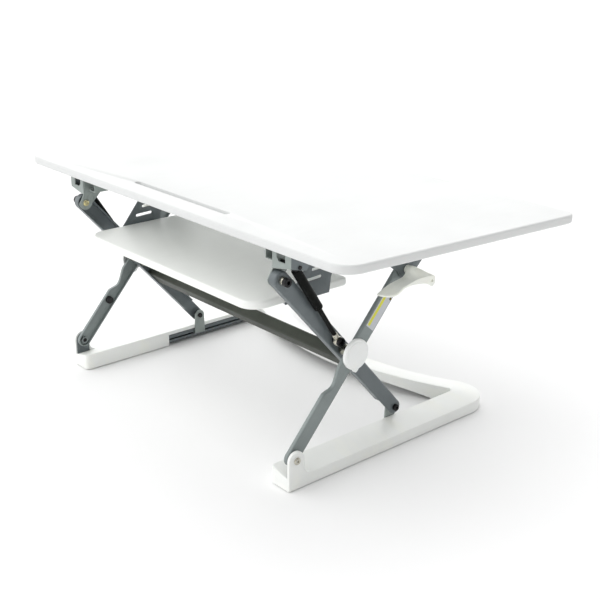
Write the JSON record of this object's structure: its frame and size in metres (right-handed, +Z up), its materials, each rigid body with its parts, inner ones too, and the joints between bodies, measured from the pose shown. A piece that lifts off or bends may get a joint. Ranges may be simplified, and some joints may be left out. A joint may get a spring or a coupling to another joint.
{
  "type": "standing desk converter",
  "caption": "Wide white desktop and keyboard tray that rise on twin scissor arms with gas springs from a low U-shaped base; shown raised.",
  "frame": {"origin": "centre of the footprint, on the surface the converter stands on", "axes": "+Z up, -Y towards the user (the tray's side), +X to the user's right"},
  "size_m": [1.2002, 0.6116, 0.499],
  "materials": {
    "white_board": "white laminate, satin",
    "white_plastic": "white moulded, satin",
    "grey_steel": "grey powder coat, satin",
    "light_grey_steel": "light grey powder coat, satin",
    "dark_steel": "dark grey powder coat",
    "black_steel": "black oxide",
    "bright_steel": "plated, bright",
    "rubber": "matt",
    "nylon": "matt"
  },
  "bodies": {
    "base": {"base_cover_right": "white_plastic", "base_cover_left": "white_plastic", "base_rail_right": "dark_steel", "base_rail_left": "dark_steel", "base_crossbar": "dark_steel", "front_foot_pad_right": "rubber", "front_foot_pad_left": "rubber", "rear_foot_pad_right": "rubber", "rear_foot_pad_left": "rubber", "front_pivot_bolt_right": "bright_steel", "front_pivot_bolt_left": "bright_steel", "front_pivot_nut_right": "black_steel", "front_pivot_nut_left": "black_steel"},
    "inner_arms": {"inner_arm_right": "grey_steel", "inner_arm_left": "grey_steel", "crossbeam": "grey_steel", "hub_pin_right": "bright_steel", "hub_pin_left": "bright_steel", "lower_carriage_pin_right": "black_steel", "lower_carriage_pin_left": "black_steel", "spring_bolt_right": "black_steel", "spring_bolt_left": "black_steel"},
    "top": {"desktop": "white_board", "keyboard_tray": "white_board", "top_rail_right": "light_grey_steel", "top_rail_left": "light_grey_steel", "hinge_bracket_right": "light_grey_steel", "hinge_bracket_left": "light_grey_steel", "desktop_pivot_bolt_right": "black_steel", "desktop_pivot_bolt_left": "black_steel", "spring_top_pin_right": "bright_steel", "spring_top_pin_left": "bright_steel", "tray_hanger_right": "dark_steel", "tray_hanger_left": "dark_steel"},
    "outer_arm_right": {"outer_arm_right": "grey_steel", "arm_bumper_right": "rubber", "hub_cap_right": "white_plastic", "upper_carriage_pin_right": "bright_steel"},
    "upper_carriage_right": {"upper_carriage_right": "grey_steel", "upper_glide_right": "nylon", "handle_screw_right": "bright_steel"},
    "handle_right": {"release_handle_right": "white_plastic"},
    "lower_carriage_right": {"lower_carriage_right": "light_grey_steel", "lower_glide_right": "nylon"},
    "spring_rod_right": {"spring_rod_right": "black_steel"},
    "spring_cylinder_right": {"spring_cylinder_right": "black_steel"},
    "outer_arm_left": {"outer_arm_left": "grey_steel", "arm_bumper_left": "rubber", "hub_cap_left": "white_plastic", "upper_carriage_pin_left": "bright_steel"},
    "upper_carriage_left": {"upper_carriage_left": "grey_steel", "upper_glide_left": "nylon", "handle_screw_left": "bright_steel"},
    "handle_left": {"release_handle_left": "white_plastic"},
    "lower_carriage_left": {"lower_carriage_left": "light_grey_steel", "lower_glide_left": "nylon"},
    "spring_rod_left": {"spring_rod_left": "black_steel"},
    "spring_cylinder_left": {"spring_cylinder_left": "black_steel"}
  },
  "joints": [
    {"name": "lift", "type": "hinge", "parent": "base", "child": "outer_arm_right", "pos_m": [0.3945, -0.281, 0.064], "axis": [1, 0, 0], "range_deg": [-45.5, 0]},
    {"name": "arms_cross", "type": "hinge", "parent": "outer_arm_right", "child": "inner_arms", "pos_m": [0.3945, -0.124, 0.242], "axis": [1, 0, 0], "range_deg": [0, 91.2]},
    {"name": "desktop_tilt", "type": "hinge", "parent": "inner_arms", "child": "top", "pos_m": [0.3605, -0.281, 0.42], "axis": [1, 0, 0], "range_deg": [-45.6, 0]},
    {"name": "outer_arm_left_pivot", "type": "hinge", "parent": "base", "child": "outer_arm_left", "pos_m": [-0.3945, -0.281, 0.064], "axis": [1, 0, 0], "range_deg": [-45.6, 0]},
    {"name": "upper_carriage_pivot_right", "type": "hinge", "parent": "outer_arm_right", "child": "upper_carriage_right", "pos_m": [0.399, 0.033, 0.42], "axis": [1, 0, 0], "range_deg": [0, 45.6]},
    {"name": "lower_carriage_pivot_right", "type": "hinge", "parent": "inner_arms", "child": "lower_carriage_right", "pos_m": [0.3465, 0.033, 0.064], "axis": [1, 0, 0], "range_deg": [-45.6, 0]},
    {"name": "handle_squeeze_right", "type": "hinge", "parent": "upper_carriage_right", "child": "handle_right", "pos_m": [0.412, 0.01, 0.39], "axis": [1, 0, 0], "range_deg": [-12, 0], "stiffness_Nm_per_rad": 1, "springref_deg": 17.19},
    {"name": "spring_rod_swing_right", "type": "hinge", "parent": "inner_arms", "child": "spring_rod_right", "pos_m": [0.3727, -0.14649, 0.2675], "axis": [1, 0, 0], "range_deg": [-1.2, 0]},
    {"name": "spring_stroke_right", "type": "slide", "parent": "spring_rod_right", "child": "spring_cylinder_right", "axis": [0, -0.5443, 0.8389], "range_m": [-0.0256, 0]},
    {"name": "upper_carriage_pivot_left", "type": "hinge", "parent": "outer_arm_left", "child": "upper_carriage_left", "pos_m": [-0.399, 0.033, 0.42], "axis": [1, 0, 0], "range_deg": [0, 45.6]},
    {"name": "lower_carriage_pivot_left", "type": "hinge", "parent": "inner_arms", "child": "lower_carriage_left", "pos_m": [-0.3465, 0.033, 0.064], "axis": [1, 0, 0], "range_deg": [-45.6, 0]},
    {"name": "handle_squeeze_left", "type": "hinge", "parent": "upper_carriage_left", "child": "handle_left", "pos_m": [-0.412, 0.01, 0.39], "axis": [1, 0, 0], "range_deg": [-12, 0], "stiffness_Nm_per_rad": 1, "springref_deg": 17.19},
    {"name": "spring_rod_swing_left", "type": "hinge", "parent": "inner_arms", "child": "spring_rod_left", "pos_m": [-0.3727, -0.14649, 0.2675], "axis": [1, 0, 0], "range_deg": [-1.2, 0]},
    {"name": "spring_stroke_left", "type": "slide", "parent": "spring_rod_left", "child": "spring_cylinder_left", "axis": [0, -0.5443, 0.8389], "range_m": [-0.0256, 0]}
  ],
  "couplings": [
    {"joint": "arms_cross", "follows": "lift", "ratio": -2},
    {"joint": "desktop_tilt", "follows": "lift", "ratio": 1},
    {"joint": "outer_arm_left_pivot", "follows": "lift", "ratio": 1},
    {"joint": "upper_carriage_pivot_right", "follows": "lift", "ratio": -1},
    {"joint": "lower_carriage_pivot_right", "follows": "lift", "ratio": 1},
    {"joint": "spring_rod_swing_right", "follows": "lift", "ratio": 0.025},
    {"joint": "spring_stroke_right", "follows": "lift", "m_per_rad": 0.032},
    {"joint": "upper_carriage_pivot_left", "follows": "lift", "ratio": -1},
    {"joint": "lower_carriage_pivot_left", "follows": "lift", "ratio": 1},
    {"joint": "spring_rod_swing_left", "follows": "lift", "ratio": 0.025},
    {"joint": "spring_stroke_left", "follows": "lift", "m_per_rad": 0.032}
  ]
}
